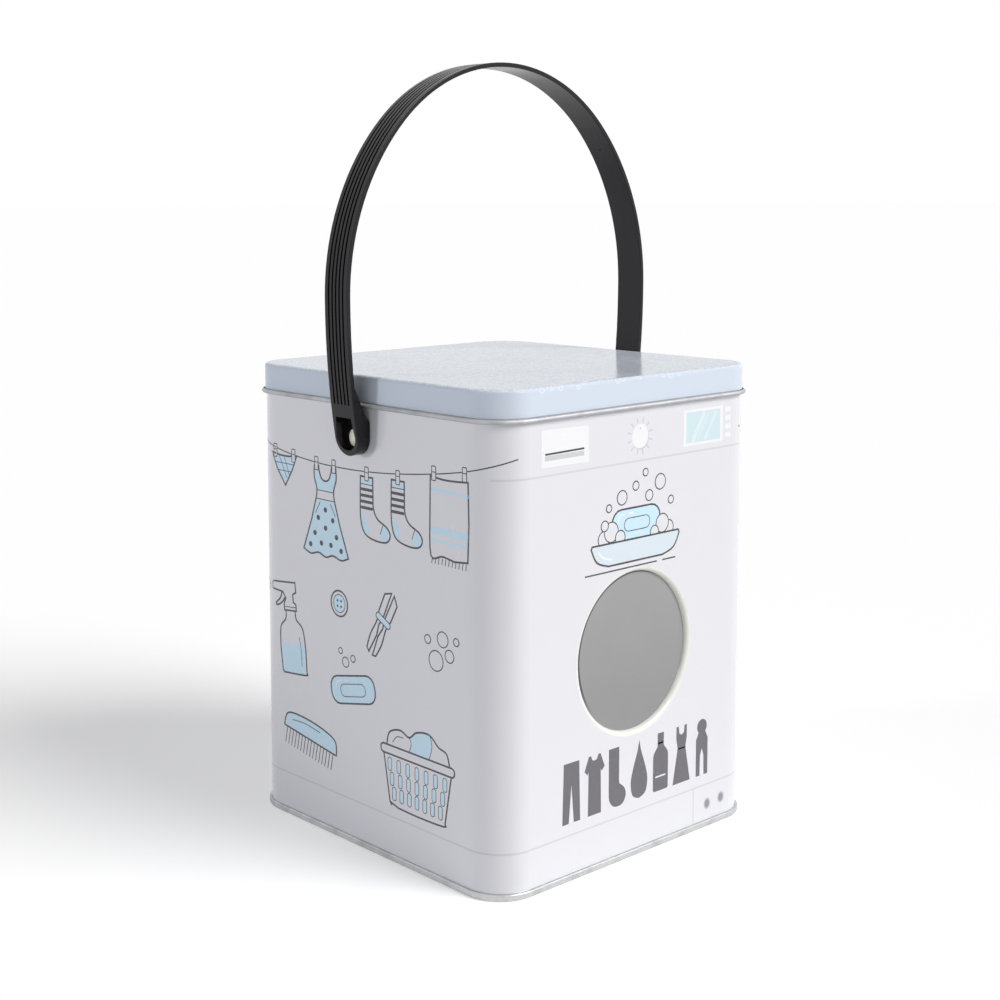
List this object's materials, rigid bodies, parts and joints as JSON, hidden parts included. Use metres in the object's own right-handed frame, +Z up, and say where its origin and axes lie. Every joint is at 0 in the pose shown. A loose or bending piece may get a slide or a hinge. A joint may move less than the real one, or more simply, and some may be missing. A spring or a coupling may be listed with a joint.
{
  "type": "metal laundry storage box",
  "caption": "Square sheet-metal storage tin with rounded corners, a slip lid, a round window in its front wall and a strap bail handle pivoted on side rivets.",
  "frame": {"origin": "centre of the footprint, on the surface the tin stands on", "axes": "+Z up, -Y is the front with the round window, X runs along the handle's pivot line between the two rivets"},
  "size_m": [0.184, 0.1644, 0.3366],
  "materials": {
    "white_enamel": "glossy white enamel, printed",
    "bare_tinplate": "bright bare tinplate",
    "blue_enamel": "glossy pale blue enamel with a fine white print",
    "frosted_pane": "grey frosted sheet",
    "pane_seal": "soft white foam ring",
    "black_plastic": "satin black moulding",
    "cream_rivet": "cream painted steel",
    "plain_washer": "zinc plated steel"
  },
  "bodies": {
    "tin": {"body_wall": "white_enamel", "base_panel": "bare_tinplate", "window_pane": "frosted_pane", "window_seal": "pane_seal", "rivet_left": "cream_rivet", "rivet_right": "cream_rivet", "washer_left": "plain_washer", "washer_right": "plain_washer"},
    "lid": {"lid": "blue_enamel"},
    "handle": {"handle": "black_plastic"}
  },
  "joints": [
    {"name": "lid_lift", "type": "slide", "parent": "tin", "child": "lid", "axis": [0, 0, 1], "range_m": [0, 0.045]},
    {"name": "handle_swing", "type": "hinge", "parent": "tin", "child": "handle", "pos_m": [0, 0.0036, 0.178], "axis": [1, 0, 0], "range_deg": [-134, 129]}
  ]
}
